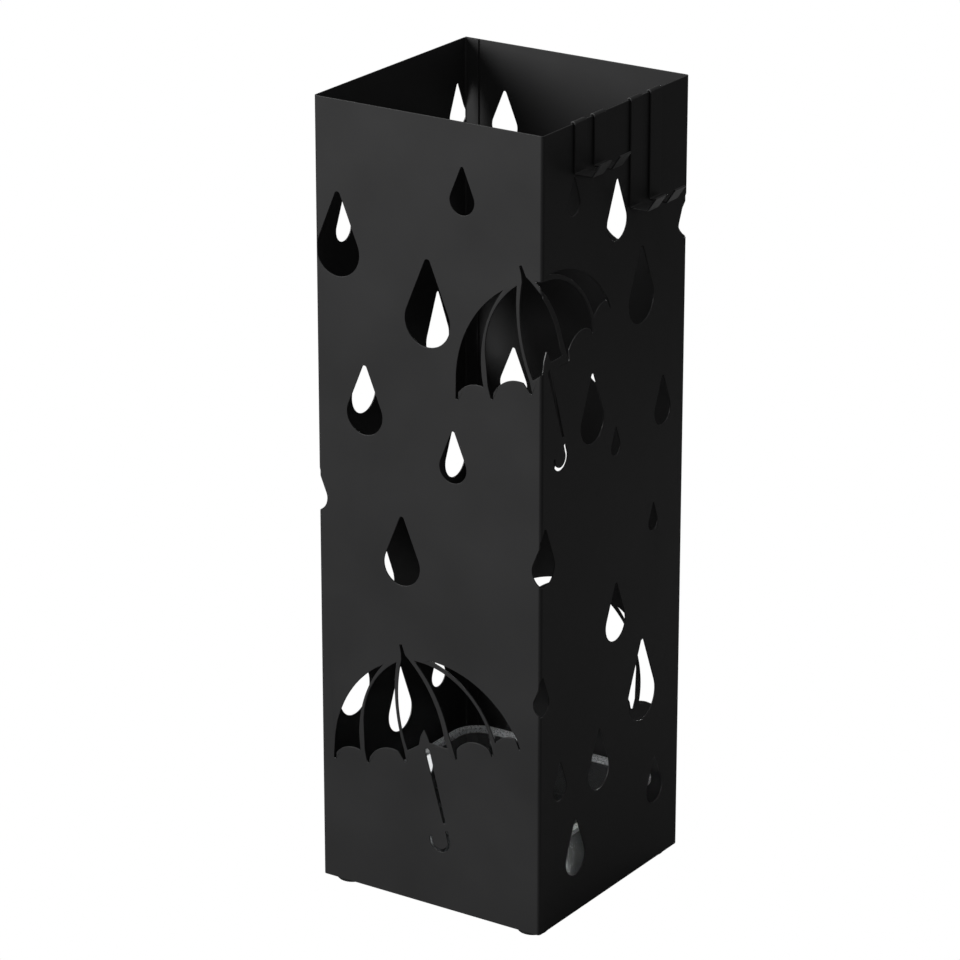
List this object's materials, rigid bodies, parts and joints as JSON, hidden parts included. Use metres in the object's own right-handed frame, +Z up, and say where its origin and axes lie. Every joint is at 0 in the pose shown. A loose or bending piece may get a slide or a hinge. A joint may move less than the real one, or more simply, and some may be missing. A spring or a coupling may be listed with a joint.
{
  "type": "umbrella stand",
  "caption": "Tall square umbrella stand of folded black sheet steel with raindrop and umbrella cut-outs, a clear lift-out drip tray, rubber feet and over-rim hooks.",
  "frame": {"origin": "on the floor, under the middle of the bounding box; the middle of the shell is 9 mm towards -X of it, because the hooks stand out on the +X side", "axes": "+Z up; -Y is the outward normal of the front wall, the one with both umbrella cut-outs; +X is the outward normal of the wall that carries the hooks"},
  "size_m": [0.1734, 0.155, 0.4913],
  "materials": {
    "black_powder_coat": "satin",
    "clear_plastic": "clear",
    "foot_rubber": "matte"
  },
  "bodies": {
    "stand": {"body_shell": "black_powder_coat", "base_pan": "black_powder_coat", "foot_front_left": "foot_rubber", "foot_front_right": "foot_rubber", "foot_back_left": "foot_rubber", "foot_back_right": "foot_rubber"},
    "tray": {"drip_tray": "clear_plastic"},
    "hook_short_front": {"hook_short_front": "black_powder_coat"},
    "hook_short_rear": {"hook_short_rear": "black_powder_coat"},
    "hook_long_front": {"hook_long_front": "black_powder_coat"},
    "hook_long_rear": {"hook_long_rear": "black_powder_coat"}
  },
  "joints": [
    {"name": "tray_lift", "type": "slide", "parent": "stand", "child": "tray", "axis": [0, 0, 1], "range_m": [0, 0.5]},
    {"name": "hook_short_front_lift", "type": "slide", "parent": "stand", "child": "hook_short_front", "axis": [0, 0, 1], "range_m": [0, 0.03]},
    {"name": "hook_short_rear_lift", "type": "slide", "parent": "stand", "child": "hook_short_rear", "axis": [0, 0, 1], "range_m": [0, 0.03]},
    {"name": "hook_long_front_lift", "type": "slide", "parent": "stand", "child": "hook_long_front", "axis": [0, 0, 1], "range_m": [0, 0.03]},
    {"name": "hook_long_rear_lift", "type": "slide", "parent": "stand", "child": "hook_long_rear", "axis": [0, 0, 1], "range_m": [0, 0.03]}
  ]
}
